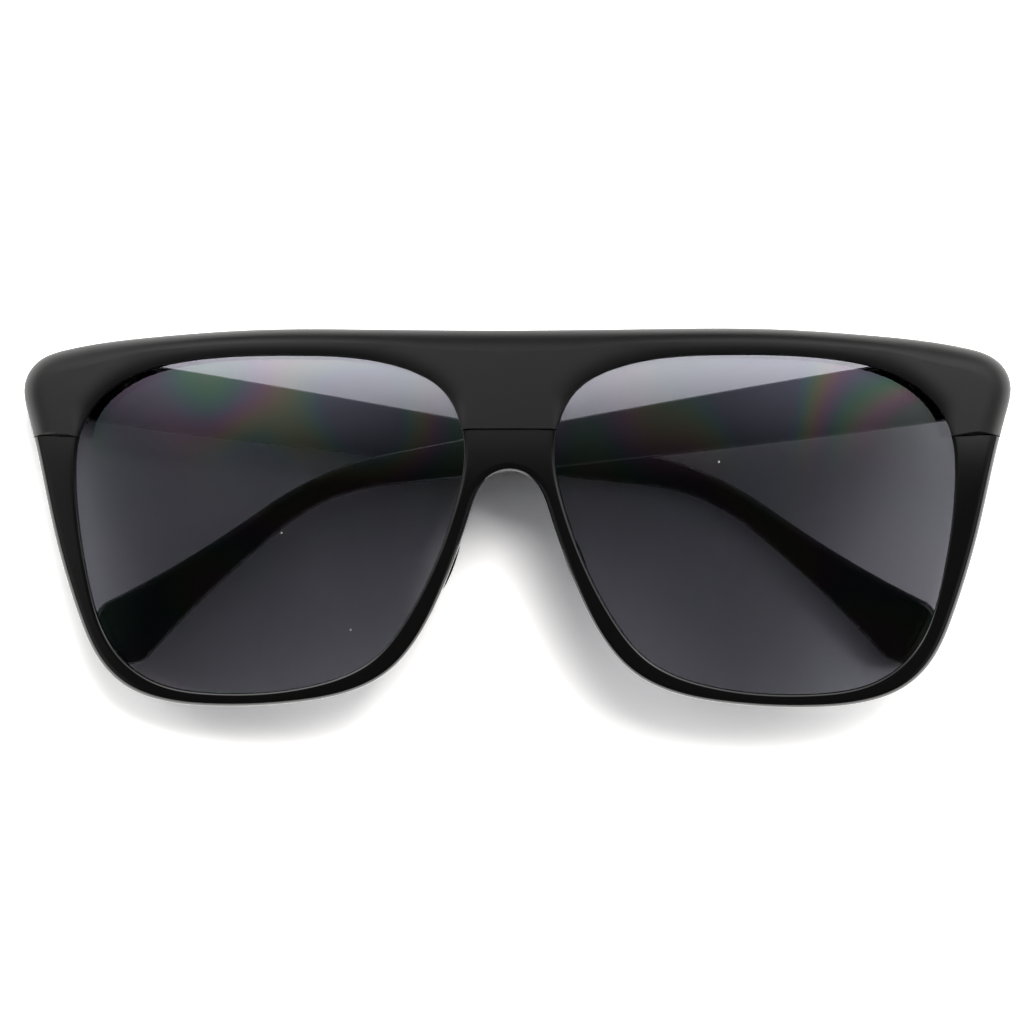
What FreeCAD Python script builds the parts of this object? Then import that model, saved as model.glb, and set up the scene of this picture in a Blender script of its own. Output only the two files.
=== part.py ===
import FreeCAD, Part
import math
import os
import re

# Flat top sunglasses lying front up on their folded temples, in millimetres and degrees.
# X runs to the wearer's left, Y runs up the face of the front, and Z points away from the surface.

SIZES = {
    # front, seen square on
    "half_bridge": 6.75,
    "lens_width": 58.95,
    "end_reach": 8.35,
    "rim_foot": 2.1,
    "lens_height": 50.0,
    "brow_height": 3.95,
    "lens_bottom": 26.05,
    # front, seen from the side
    "face_radius": 190.0,
    "end_face_height": 8.6,
    "rim_thickness": 4.2,
    "rim_round": 1.1,
    "brow_proud": 1.3,
    "brow_round": 1.7,
    "brow_side_seam": 12.1,
    "brow_bridge_seam": 13.1,
    "seam_gap": 0.12,
    # lenses
    "lens_recess": 1.3,
    "lens_thickness": 2.0,
    "lens_bite": 0.8,
    "lens_fit": 0.05,
    # end pieces
    "end_height": 10.2,
    "end_width": 14.0,
    "butt_height": 2.0,
    # nose pads
    "pad_offset": 2.8,
    "pad_drop": 6.5,
    "pad_tilt": 20.0,
    "pad_length": 12.0,
    "pad_width": 2.7,
    "pad_depth": 6.0,
    # hinges
    "pin_inset": 6.85,
    "pin_level": 19.9,
    "pin_to_temple": 2.0,
    "barrel_radius": 1.5,
    "barrel_height": 1.8,
    "barrel_gap": 0.05,
    "pin_radius": 0.67,
    "pin_fit": 0.05,
    "screw_head_radius": 1.25,
    "screw_head_height": 0.75,
    "screw_slot_width": 0.4,
    "screw_slot_depth": 0.35,
    "screw_tail": 0.3,
    "leaf_thickness": 0.8,
    "front_leaf_reach": 2.2,
    "front_leaf_height": 8.4,
    "front_screw_spread": 6.9,
    "temple_leaf_length": 9.5,
    "temple_leaf_height": 5.5,
    "temple_screw_start": 4.0,
    "temple_screw_pitch": 3.5,
    "leaf_screw_radius": 0.45,
    "leaf_screw_head_radius": 0.65,
    "leaf_screw_head_height": 0.4,
    "leaf_screw_length": 2.8,
    # temples
    "temple_thickness": 4.5,
    "tip_thickness": 3.2,
    "taper_start": 12.0,
    "butt_clearance": 0.05,
    "shaft_length": 97.2,
    "ear_length": 43.0,
    "drop_angle": 8.3,
    "bend_angle": 29.0,
    "bend_radius": 39.0,
    "hinge_end_height": 10.0,
    "neck_height": 3.9,
    "tip_height": 13.0,
    "tip_round": 5.0,
    "temple_round": 0.9,
    # wire cores
    "core_start": 12.5,
    "core_length": 70.0,
    "core_width": 2.0,
    "core_thickness": 1.2,
    "core_cover": 1.2,
    # how the folded glasses lie
    "roll_angle": 3.0,
    "overfold_angle": 1.5,
}

doc = FreeCAD.newDocument("flat_top_sunglasses")
sheet = doc.addObject("Spreadsheet::Sheet", "Sizes")
for row, (alias, number) in enumerate(SIZES.items(), start=1):
    sheet.set(f"A{row}", alias)
    sheet.set(f"B{row}", str(number))
    sheet.setAlias(f"B{row}", alias)
doc.recompute()


def size(alias):
    return float(getattr(sheet, alias))


def bind(feature, prop, formula):
    def cell(word):
        return "Sizes." + word.group(0) if word.group(0) in SIZES else word.group(0)

    feature.setExpression(prop, re.sub(r"[a-z_]+", cell, formula))


# Small builders

WORLD_X = FreeCAD.Vector(1, 0, 0)
WORLD_Y = FreeCAD.Vector(0, 1, 0)
WORLD_Z = FreeCAD.Vector(0, 0, 1)
ALONG_Y = FreeCAD.Rotation(WORLD_X, -90)
ALONG_Z = FreeCAD.Rotation()


def block(name, corner, spans):
    box = doc.addObject("Part::Box", name)
    for prop, formula in zip(("Length", "Width", "Height"), spans):
        bind(box, prop, formula)
    box.Placement.Base = FreeCAD.Vector(*corner)
    return box


def rod(name, base, direction, radius, length):
    cylinder = doc.addObject("Part::Cylinder", name)
    bind(cylinder, "Radius", radius)
    bind(cylinder, "Height", length)
    cylinder.Placement = FreeCAD.Placement(FreeCAD.Vector(*base), direction)
    return cylinder


def fuse(name, shapes):
    union = doc.addObject("Part::MultiFuse", name)
    union.Shapes = shapes
    return union


def common(name, shapes):
    overlap = doc.addObject("Part::MultiCommon", name)
    overlap.Shapes = shapes
    return overlap


def cut(name, base, tools):
    result = doc.addObject("Part::Cut", name)
    result.Base = base
    result.Tool = tools[0] if len(tools) == 1 else fuse(name + "_cutters", tools)
    return result


def rounded(name, solid, radius, wanted):
    doc.recompute()
    shape = solid.Shape
    walls = ("SurfaceOfExtrusion", "Cylinder")
    picked = []
    for number, edge in enumerate(shape.Edges, start=1):
        beside = shape.ancestorsOfType(edge, Part.Face)
        if any(face.Surface.__class__.__name__ in walls for face in beside):
            if any(wanted(face) for face in beside):
                picked.append((number, radius, radius))
    fillet = doc.addObject("Part::Fillet", name)
    fillet.Base = solid
    fillet.Edges = picked
    return fillet


SAME_RADIUS = 0.001
MOSTLY_UPRIGHT = 0.5


def on_ball(radius):
    def wanted(face):
        return hasattr(face.Surface, "Center") and abs(face.Surface.Radius - radius) < SAME_RADIUS

    return wanted


def is_flat(face):
    return isinstance(face.Surface, Part.Plane) and abs(face.normalAt(0, 0).z) > MOSTLY_UPRIGHT


def flat_sketch(name, curves, height=0.0):
    sketch = doc.addObject("Sketcher::SketchObject", name)
    sketch.Placement.Base = FreeCAD.Vector(0, 0, height)
    sketch.addGeometry(curves, False)
    return sketch


def prism(name, profile, length):
    extrusion = doc.addObject("Part::Extrusion", name)
    extrusion.Base = profile
    extrusion.DirMode = "Custom"
    extrusion.Dir = WORLD_Z
    extrusion.Solid = True
    bind(extrusion, "LengthFwd", length)
    return extrusion


def smooth_curve(points, closed=False):
    curve = Part.BSplineCurve()
    curve.interpolate([FreeCAD.Vector(x, y, 0) for x, y in points], PeriodicFlag=closed)
    return curve


def spans(curve):
    return [span.toBSpline() for span in curve.toBezier()]


# Outline of the front.
# Points are given in zones. Across, 0 is the middle, 1 the nose side of the lens, 2 its far side
# and 3 the outermost edge. Up, 0 is the foot of the rim, 1 and 2 the bottom and top of the lens
# and 3 the top of the brow.

RIM_OUTLINE = [
    (0.0, 2.93), (1.231, 2.985), (1.536, 3.0), (1.793, 2.778), (2.21, 2.336), (2.796, 1.987),
    (3.0, 1.934), (2.921, 1.824), (2.424, 1.476), (1.996, 1.228), (1.938, 1.087), (1.873, 1.016),
    (1.776, 0.367), (1.638, 0.0), (1.431, 0.313), (1.291, 1.005), (1.197, 1.061), (1.127, 1.149),
    (1.054, 1.311), (0.884, 1.527), (0.518, 1.629), (0.0, 1.659),
]
APERTURE_OUTLINE = [
    (1.0, 1.751), (1.053, 1.895), (1.167, 1.966), (1.437, 2.0), (1.717, 1.984), (1.887, 1.92),
    (1.979, 1.806), (2.0, 1.639), (1.967, 1.334), (1.903, 1.132), (1.798, 1.034), (1.64, 1.0),
    (1.389, 1.024), (1.231, 1.102), (1.138, 1.235), (1.021, 1.557),
]


def zone_point(across, up, side):
    widths = (size("half_bridge"), size("lens_width"), size("end_reach"))
    heights = (size("rim_foot"), size("lens_height"), size("brow_height"))
    x = sum(width * min(max(across - zone, 0.0), 1.0) for zone, width in enumerate(widths))
    y = sum(height * min(max(up - zone, 0.0), 1.0) for zone, height in enumerate(heights))
    return side * x, y - size("rim_foot") - size("lens_bottom")


def rim_curve():
    half = [zone_point(across, up, 1) for across, up in RIM_OUTLINE]
    mirrored = [(-x, y) for x, y in reversed(half[1:-1])]
    return spans(smooth_curve(half + mirrored, closed=True))


def aperture_curve(side, margin=0.0):
    points = [zone_point(across, up, side) for across, up in APERTURE_OUTLINE]
    curve = smooth_curve(points, closed=True)
    widened = []
    for x, y in points:
        along = curve.tangent(curve.parameter(FreeCAD.Vector(x, y, 0)))[0]
        widened.append((x - side * margin * along.y, y + side * margin * along.x))
    return spans(smooth_curve(widened, closed=True))


half_width = size("half_bridge") + size("lens_width") + size("end_reach")
pin_x = half_width - size("pin_inset")
pin_y = size("pin_level")
pin_above_outer = size("pin_to_temple") + size("temple_thickness")
butt = size("butt_height")
brow_top = size("lens_height") + size("brow_height") - size("lens_bottom")


# The face passes the pins at a set height, so its apex follows from the width and the curve

PIN_ACROSS = "(half_bridge + lens_width + end_reach - pin_inset)"
FACE_SAG = f"(face_radius - sqrt(face_radius^2 - {PIN_ACROSS}^2 - pin_level^2))"
APEX = f"(end_face_height + {FACE_SAG})"
FRONT_STACK = f"{APEX} + brow_proud"
face_reach = math.sqrt(size("face_radius") ** 2 - pin_x ** 2 - pin_y ** 2)
ball_centre = FreeCAD.Vector(0, 0, size("end_face_height") - face_reach)


# Curved layers of the front.
# The faces of the rim, brow and lenses lie on balls about one centre, so two pieces that meet at
# one depth below the face meet face to face.

CLEAR_OF_FRONT = 6.0
GROOVE_FRONT = "lens_recess - lens_fit"
GROOVE_BACK = "lens_recess + lens_thickness + lens_fit"


def ball(name, depth):
    sphere = doc.addObject("Part::Sphere", name)
    bind(sphere, "Radius", f"face_radius - ({depth})")
    sphere.Placement = FreeCAD.Placement(ball_centre, ALONG_Y)
    return sphere


def between(name, solid, front_depth, back_depth):
    kept = common(name + "_front", [solid, ball(name + "_front_ball", front_depth)])
    return cut(name, kept, [ball(name + "_back_ball", back_depth)])


front_prism = prism("front_prism", flat_sketch("front_outline", rim_curve(), butt), FRONT_STACK)


# Brow region: everything above the two side seams and the seam at the bridge. The seam changes
# height between two places across the lens, where there is no rim.

SEAM_STEP_NEAR = 0.3
SEAM_STEP_FAR = 0.7


def brow_region(name, drop):
    side_seam = size("brow_side_seam") - drop
    bridge_seam = size("brow_bridge_seam") - drop
    far = half_width + CLEAR_OF_FRONT
    high = brow_top + CLEAR_OF_FRONT
    outer_step = size("half_bridge") + SEAM_STEP_FAR * size("lens_width")
    inner_step = size("half_bridge") + SEAM_STEP_NEAR * size("lens_width")
    corners = [
        (far, side_seam), (outer_step, side_seam), (inner_step, bridge_seam),
        (-inner_step, bridge_seam), (-outer_step, side_seam), (-far, side_seam),
        (-far, high), (far, high),
    ]
    ends = [FreeCAD.Vector(x, y, 0) for x, y in corners]
    edges = [Part.LineSegment(a, b) for a, b in zip(ends, ends[1:] + ends[:1])]
    return prism(name, flat_sketch(name + "_outline", edges, butt), FRONT_STACK + " + rim_thickness")


def lens_prism(name, side, margin):
    sketch = flat_sketch(name + "_outline", aperture_curve(side, margin))
    return prism(name, sketch, FRONT_STACK + " + rim_thickness")


# Hinge places, in the frame of the front: the pin stands at (side * pin_x, pin_y, 0)

def span_from(side, near, far):
    return min(side * near, side * far)


def end_piece(side, word):
    inner = half_width - size("end_width")
    corner = (span_from(side, inner, half_width), pin_y - size("end_height") / 2, butt)
    bar = block("end_bar_" + word, corner, ("end_width", "end_height", APEX))
    face = ball("end_face_" + word, "lens_recess")
    return common("end_piece_" + word, [front_prism, bar, face])


POCKET_ROOM = 1.0


def front_leaf_plate(name, side, room):
    near = pin_x - size("front_leaf_reach")
    far = pin_x + size("barrel_radius")
    corner = (span_from(side, near, far), pin_y - size("front_leaf_height") / 2, butt - room)
    spans = ("front_leaf_reach + barrel_radius", "front_leaf_height", f"leaf_thickness + {room}")
    return block(name, corner, spans)


def front_screw_places(side):
    x = side * (pin_x - (size("front_leaf_reach") - size("barrel_radius")) / 2)
    half = size("front_screw_spread") / 2
    return [(x, pin_y - half), (x, pin_y + half)]


def front_screw_rods(name, side, start, length):
    return [
        rod(f"{name}_{place}", (x, y, start), ALONG_Z, "leaf_screw_radius", length)
        for place, (x, y) in enumerate(front_screw_places(side))
    ]


SIDES = {"right": -1, "left": 1}
placed = {}


def node(label, feature, group):
    feature.Label = label
    placed[label] = (feature, group)
    return feature


# Rim, brow and lenses

rim_blank = between("rim_blank", front_prism, "0", "rim_thickness")
rim_face = on_ball(size("face_radius"))
rim_solid_parts = [rounded("rim_rounded", rim_blank, size("rim_round"), rim_face)]
brow_room = brow_region("brow_room", size("seam_gap"))
rim_cutters = [cut("brow_seat", brow_room, [ball("brow_seat_floor", GROOVE_FRONT)])]
apertures = []
for word, side in SIDES.items():
    rim_solid_parts.append(end_piece(side, word))
    apertures.append(lens_prism("aperture_" + word, side, 0.0))
    bed = lens_prism("lens_bed_" + word, side, size("lens_bite") + size("lens_fit"))
    rim_cutters.append(between("lens_groove_" + word, bed, GROOVE_FRONT, GROOVE_BACK))
    rim_cutters.append(front_leaf_plate("front_leaf_pocket_" + word, side, POCKET_ROOM))
    rim_cutters += front_screw_rods("front_screw_bore_" + word, side, butt, "leaf_screw_length")
    disc = lens_prism("lens_disc_" + word, side, size("lens_bite"))
    lens = between("lens_solid_" + word, disc, "lens_recess", "lens_recess + lens_thickness")
    node("lens_" + word, lens, "front")

rim_solid = fuse("rim_solid", rim_solid_parts)
node("front_rim", cut("rim_cut", rim_solid, rim_cutters + apertures), "front")

brow_blank = common("brow_blank", [front_prism, brow_region("brow_area", 0.0)])
brow_shell = between("brow_shell", brow_blank, "-brow_proud", GROOVE_FRONT)
brow_face = on_ball(size("face_radius") + size("brow_proud"))
brow_rounded = rounded("brow_rounded", brow_shell, size("brow_round"), brow_face)
node("brow_cap", cut("brow_cut", brow_rounded, apertures), "front")


# Nose pads, behind the nose side of the rims

def nose_pad(side, word):
    centre = FreeCAD.Vector(side * (size("half_bridge") + size("pad_offset")), -size("pad_drop"), 0)
    lean = math.radians(size("pad_tilt"))
    down = FreeCAD.Vector(side * math.sin(lean), -math.cos(lean), 0)
    out = FreeCAD.Vector(math.cos(lean), side * math.sin(lean), 0)
    far_end = centre + down * (size("pad_length") / 2)
    sketch = flat_sketch("pad_outline_" + word, [
        Part.Ellipse(far_end, centre + out * (size("pad_width") / 2), centre)
    ])
    pad = prism("pad_prism_" + word, sketch, APEX)
    solid = between("pad_solid_" + word, pad, "rim_thickness", "rim_thickness + pad_depth")
    node("nose_pad_" + word, solid, "front")


# Hinges

def barrel(name, x, y, z, order):
    pitch = size("barrel_height") + size("barrel_gap")
    low = y + order * pitch - size("barrel_height") / 2
    return rod(name, (x, low, z), ALONG_Y, "barrel_radius", "barrel_height"), low


def pin_bore(name, x, y, z):
    stack = "3 * barrel_height + 4 * barrel_gap"
    low = y - 1.5 * size("barrel_height") - 2 * size("barrel_gap")
    return rod(name, (x, low, z), ALONG_Y, "pin_radius + pin_fit", stack)


def front_hinge_leaf(side, word):
    x = side * pin_x
    pieces = [front_leaf_plate("front_leaf_plate_" + word, side, 0.0)]
    for order in (-1, 1):
        knuckle, low = barrel(f"front_barrel_{word}_{order + 1}", x, pin_y, 0, order)
        web_corner = (x - size("barrel_radius"), low, 0)
        web_spans = ("2 * barrel_radius", "barrel_height", "butt_height")
        pieces += [knuckle, block(f"front_web_{word}_{order + 1}", web_corner, web_spans)]
    tools = [pin_bore("front_pin_bore_" + word, x, pin_y, 0)]
    tools += front_screw_rods("front_leaf_bore_" + word, side, butt, "leaf_thickness")
    leaf = fuse("front_leaf_solid_" + word, pieces)
    node("front_hinge_leaf_" + word, cut("front_leaf_cut_" + word, leaf, tools), "front")


def front_leaf_screws(side, word):
    head_low = butt - size("leaf_screw_head_height")
    screws = front_screw_rods("front_screw_shank_" + word, side, butt, "leaf_screw_length")
    for place, (x, y) in enumerate(front_screw_places(side)):
        name = f"front_screw_head_{word}_{place}"
        base = (x, y, head_low)
        screws.append(rod(name, base, ALONG_Z, "leaf_screw_head_radius", "leaf_screw_head_height"))
    node("front_leaf_screws_" + word, fuse("front_screws_solid_" + word, screws), "front")


def hinge_screw(side, word):
    x = side * pin_x
    top = pin_y + 1.5 * size("barrel_height") + size("barrel_gap")
    length = "3 * barrel_height + 2 * barrel_gap + screw_tail"
    low = pin_y - 1.5 * size("barrel_height") - size("barrel_gap") - size("screw_tail")
    shank = rod("pin_shank_" + word, (x, low, 0), ALONG_Y, "pin_radius", length)
    head = rod("pin_head_" + word, (x, top, 0), ALONG_Y, "screw_head_radius", "screw_head_height")
    slot_y = top + size("screw_head_height") - size("screw_slot_depth")
    slot_corner = (x - size("screw_head_radius"), slot_y, -size("screw_slot_width") / 2)
    slot_spans = ("2 * screw_head_radius", "screw_slot_depth", "screw_slot_width")
    slot = block("pin_slot_" + word, slot_corner, slot_spans)
    whole = fuse("pin_whole_" + word, [shank, head])
    node("hinge_screw_" + word, cut("pin_cut_" + word, whole, [slot]), "front")


# Temples.
# Each is drawn lying on its outer face: the pin is above the origin, the shaft runs along the
# direction "way", and the inner face is up.

STATIONS = 6
SHAFT_TAPER_POWER = 1.5
EAR_FLARE_POWER = 2.3


def half_height(run):
    neck = size("shaft_length")
    if run <= neck:
        fall = size("hinge_end_height") - size("neck_height")
        share = max(run, 0.0) / neck
        return (size("hinge_end_height") - fall * share ** SHAFT_TAPER_POWER) / 2
    growth = size("tip_height") - size("neck_height")
    share = (run - neck) / size("ear_length")
    return (size("neck_height") + growth * share ** EAR_FLARE_POWER) / 2


def bend_start():
    return size("shaft_length") - size("bend_radius") * math.tan(math.radians(size("bend_angle")) / 2)


def centreline(run):
    turn = math.radians(size("bend_angle"))
    radius = size("bend_radius")
    start = bend_start()
    heading = -math.radians(size("drop_angle"))
    x = min(run, start) * math.cos(heading)
    y = min(run, start) * math.sin(heading)
    if run > start:
        swept = min((run - start) / radius, turn)
        x += radius * (math.sin(heading) - math.sin(heading - swept))
        y += radius * (math.cos(heading - swept) - math.cos(heading))
        heading -= swept
        rest = max(run - start - radius * turn, 0.0)
        x += rest * math.cos(heading)
        y += rest * math.sin(heading)
    return x, y, heading


def temple_edge_point(run, edge):
    x, y, heading = centreline(run)
    reach = edge * half_height(run)
    return x - reach * math.sin(heading), y + reach * math.cos(heading)


def temple_path_length():
    straight = size("ear_length") - size("shaft_length") + bend_start()
    return bend_start() + size("bend_radius") * math.radians(size("bend_angle")) + straight


def temple_profile(way):
    total = temple_path_length()
    last = total - size("tip_round")
    start = bend_start()
    runs = [start * share / STATIONS for share in range(STATIONS)]
    runs += [start + (last - start) * share / STATIONS for share in range(STATIONS + 1)]
    butt_x = size("butt_clearance") - size("butt_height")
    butt_rise = -butt_x * math.tan(math.radians(size("drop_angle")))
    edges = []
    for edge in (1, -1):
        first = (butt_x, temple_edge_point(0.0, edge)[1] + butt_rise)
        edges.append([first] + [temple_edge_point(run, edge) for run in runs[1:]])
    tip_x, tip_y, _ = centreline(total)
    top, bottom = [[(way * x, y) for x, y in edge] for edge in edges]
    tip = (way * tip_x, tip_y)
    ends = [FreeCAD.Vector(x, y, 0) for x, y in (top[-1], tip, bottom[-1], bottom[0], top[0])]
    edges = spans(smooth_curve(top)) + spans(smooth_curve(bottom))
    return edges + [Part.Arc(*ends[0:3]), Part.LineSegment(*ends[3:5])]


def temple_core(name, way):
    x, y, heading = centreline(size("core_start"))
    box = doc.addObject("Part::Box", name)
    bind(box, "Length", "core_length")
    bind(box, "Width", "core_width")
    bind(box, "Height", "core_thickness")
    half = size("core_width") / 2
    turn = FreeCAD.Rotation(WORLD_Z, math.degrees(heading))
    corner = FreeCAD.Vector(x, y, size("core_cover")) + turn.multVec(FreeCAD.Vector(0, -half, 0))
    if way < 0:
        turn = FreeCAD.Rotation(WORLD_Z, 180 - math.degrees(heading))
        corner = FreeCAD.Vector(-x, y, size("core_cover")) + turn.multVec(FreeCAD.Vector(0, -half, 0))
    box.Placement = FreeCAD.Placement(corner, turn)
    return box


def taper_wedge(name, way):
    run = size("shaft_length") + size("ear_length") - size("taper_start")
    slope = math.degrees(math.atan((size("temple_thickness") - size("tip_thickness")) / run))
    wedge = doc.addObject("Part::Box", name)
    bind(wedge, "Length", "shaft_length + ear_length")
    bind(wedge, "Width", "2 * (shaft_length + ear_length)")
    bind(wedge, "Height", "temple_thickness")
    reach = size("shaft_length") + size("ear_length")
    hinge_line = FreeCAD.Vector(way * size("taper_start"), -reach, size("temple_thickness"))
    tilt = FreeCAD.Rotation(WORLD_Y, way * slope)
    corner = hinge_line if way > 0 else hinge_line + tilt.multVec(FreeCAD.Vector(-reach, 0, 0))
    wedge.Placement = FreeCAD.Placement(corner, tilt)
    return wedge


def temple_leaf_plate(name, way, room):
    near = -size("barrel_radius")
    far = size("temple_leaf_length")
    low = size("temple_thickness") - size("leaf_thickness")
    corner = (span_from(way, near, far), -size("temple_leaf_height") / 2, low)
    spans = ("barrel_radius + temple_leaf_length", "temple_leaf_height", f"leaf_thickness + {room}")
    return block(name, corner, spans)


def temple_screw_rods(name, way, radius, length, base_z):
    places = [size("temple_screw_start") + order * size("temple_screw_pitch") for order in range(2)]
    return [
        rod(f"{name}_{order}", (way * run, 0, base_z), ALONG_Z, radius, length)
        for order, run in enumerate(places)
    ]


def temple(side, word):
    way = -side
    blank = prism("temple_prism_" + word, flat_sketch("temple_outline_" + word, temple_profile(way)),
                  "temple_thickness")
    tapered = cut("temple_tapered_" + word, blank, [taper_wedge("temple_taper_" + word, way)])
    arm = rounded("temple_rounded_" + word, tapered, size("temple_round"), is_flat)
    screw_low = size("temple_thickness") - size("leaf_screw_length")
    tools = [
        temple_leaf_plate("temple_leaf_pocket_" + word, way, POCKET_ROOM),
        temple_core("core_room_" + word, way),
    ]
    tools += temple_screw_rods("temple_screw_bore_" + word, way, "leaf_screw_radius",
                               "leaf_screw_length", screw_low)
    node("temple_" + word, cut("temple_cut_" + word, arm, tools), word)
    node("temple_core_" + word, temple_core("core_wire_" + word, way), word)


def temple_hinge_leaf(side, word):
    way = -side
    top = size("temple_thickness")
    knuckle, low = barrel("temple_barrel_" + word, 0, 0, pin_above_outer, 0)
    web = block("temple_web_" + word, (-size("barrel_radius"), low, top),
                ("2 * barrel_radius", "barrel_height", "pin_to_temple"))
    tools = [pin_bore("temple_pin_bore_" + word, 0, 0, pin_above_outer)]
    tools += temple_screw_rods("temple_leaf_bore_" + word, way, "leaf_screw_radius",
                               "leaf_thickness", top - size("leaf_thickness"))
    pieces = [temple_leaf_plate("temple_leaf_plate_" + word, way, 0.0), knuckle, web]
    leaf = fuse("temple_leaf_solid_" + word, pieces)
    node("temple_hinge_leaf_" + word, cut("temple_leaf_cut_" + word, leaf, tools), word)


def temple_leaf_screws(side, word):
    way = -side
    top = size("temple_thickness")
    low = top - size("leaf_screw_length")
    screws = temple_screw_rods("temple_screw_shank_" + word, way, "leaf_screw_radius",
                               "leaf_screw_length", low)
    screws += temple_screw_rods("temple_screw_head_" + word, way, "leaf_screw_head_radius",
                                "leaf_screw_head_height", top)
    node("temple_leaf_screws_" + word, fuse("temple_screws_solid_" + word, screws), word)


for word, side in SIDES.items():
    nose_pad(side, word)
    front_hinge_leaf(side, word)
    front_leaf_screws(side, word)
    hinge_screw(side, word)
    temple(side, word)
    temple_hinge_leaf(side, word)
    temple_leaf_screws(side, word)

doc.recompute()


# How it lies: the right temple is flat on the surface, the front is rolled over it by the roll
# angle, and the left temple is folded between them.

roll = math.radians(size("roll_angle"))
front_lift = pin_above_outer + pin_x * math.sin(roll)
front_stance = FreeCAD.Placement(
    FreeCAD.Vector(0, 0, front_lift), FreeCAD.Rotation(WORLD_Y, -size("roll_angle"))
)


def temple_stance(side, tilt):
    pin = FreeCAD.Placement(FreeCAD.Vector(side * pin_x, pin_y, 0), FreeCAD.Rotation(WORLD_Y, tilt))
    drop = FreeCAD.Placement(FreeCAD.Vector(0, 0, -pin_above_outer), FreeCAD.Rotation())
    return front_stance.multiply(pin).multiply(drop)


stances = {
    "front": front_stance,
    "right": temple_stance(-1, size("roll_angle")),
    "left": temple_stance(1, size("overfold_angle")),
}

lying = Part.makeCompound([
    feature.Shape.transformed(stances[group].toMatrix()) for feature, group in placed.values()
])
extent = lying.optimalBoundingBox(False)
centring = FreeCAD.Placement(
    FreeCAD.Vector(-extent.Center.x, -extent.Center.y, -extent.ZMin), FreeCAD.Rotation()
)
for feature, group in placed.values():
    feature.Placement = centring.multiply(stances[group]).multiply(feature.Placement)


# Every feature has to be sound before anything is written

for feature in doc.Objects:
    if {"Invalid", "Error"} & set(feature.State):
        raise RuntimeError(f"{feature.Name} failed: {feature.State}")
for label, (feature, _) in placed.items():
    if feature.Shape.isNull() or not feature.Shape.isValid():
        raise RuntimeError(f"{label} has no sound shape")

os.makedirs("parts", exist_ok=True)
for label, (feature, _) in placed.items():
    feature.Shape.exportStep(f"parts/{label}.step")
    print(label, len(feature.Shape.Solids), round(feature.Shape.Volume, 2))
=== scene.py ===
import math

import bmesh
import bpy
import numpy as np
from mathutils import Matrix, Vector


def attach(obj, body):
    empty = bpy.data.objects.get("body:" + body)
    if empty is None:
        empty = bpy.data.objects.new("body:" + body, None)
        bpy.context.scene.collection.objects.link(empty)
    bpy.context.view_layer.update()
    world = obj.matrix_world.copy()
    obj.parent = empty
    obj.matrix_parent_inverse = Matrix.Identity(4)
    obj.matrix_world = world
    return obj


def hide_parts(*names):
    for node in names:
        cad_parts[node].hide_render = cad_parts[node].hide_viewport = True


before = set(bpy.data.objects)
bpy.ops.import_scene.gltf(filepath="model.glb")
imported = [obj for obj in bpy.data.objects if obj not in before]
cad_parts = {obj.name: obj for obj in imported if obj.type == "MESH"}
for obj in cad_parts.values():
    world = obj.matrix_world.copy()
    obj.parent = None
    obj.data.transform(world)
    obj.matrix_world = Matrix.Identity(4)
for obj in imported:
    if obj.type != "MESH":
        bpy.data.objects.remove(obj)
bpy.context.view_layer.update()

# Camera.
# The glasses are photographed from straight above with a long lens, the brow towards the top of
# the picture.

CAMERA_PLACE = (-0.0005, 0.0009, 0.781)
CAMERA_LENS = 179.3
CAMERA_SENSOR = 36.0
CAMERA_CLIP = (0.05, 10.0)

camera_data = bpy.data.cameras.new("overhead_camera")
camera_data.lens = CAMERA_LENS
camera_data.sensor_width = CAMERA_SENSOR
camera_data.clip_start, camera_data.clip_end = CAMERA_CLIP
camera = bpy.data.objects.new("overhead_camera", camera_data)
camera.location = CAMERA_PLACE
bpy.context.scene.collection.objects.link(camera)
bpy.context.scene.camera = camera
bpy.context.scene.view_settings.view_transform = "Standard"


# Floor and lights.
# A sheet of white acrylic lies under the glasses. A softbox stands high beyond the brow and a
# weaker one at the side, so the shadow falls towards the foot of the picture. The glossy faces
# mirror a wide white scrim in a dim room.

def linear(code):
    """The linear colour of an sRGB hex code."""
    parts = [int(code[place:place + 2], 16) / 255 for place in (0, 2, 4)]
    parts = [part / 12.92 if part <= 0.04045 else ((part + 0.055) / 1.055) ** 2.4 for part in parts]
    return (*parts, 1.0)


def add_node(material, kind, sockets=(), **settings):
    """A new node with its settings, the values of its sockets and its links."""
    tree = material.node_tree
    made = tree.nodes.new(kind)
    for name, value in settings.items():
        setattr(made, name, value)
    for socket, value in dict(sockets).items():
        if isinstance(value, bpy.types.NodeSocket):
            tree.links.new(value, made.inputs[socket])
        else:
            made.inputs[socket].default_value = value
    return made


def new_material(name):
    material = bpy.data.materials.new(name)
    material.use_nodes = True
    material.node_tree.nodes.clear()
    return material


FLOOR_SIZE = 6.0
FLOOR_CELLS = 8
FLOOR_DROP = 0.00005
FLOOR_WHITE = linear("F0F0EF")
FLOOR_BRIGHTNESS = 2.2

floor_mesh = bmesh.new()
bmesh.ops.create_grid(floor_mesh, x_segments=FLOOR_CELLS, y_segments=FLOOR_CELLS,
                      size=FLOOR_SIZE / 2)
bmesh.ops.translate(floor_mesh, verts=floor_mesh.verts, vec=(0, 0, -FLOOR_DROP))
floor_data = bpy.data.meshes.new("floor")
floor_mesh.to_mesh(floor_data)
floor_mesh.free()
floor = bpy.data.objects.new("floor", floor_data)
bpy.context.scene.collection.objects.link(floor)

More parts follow.
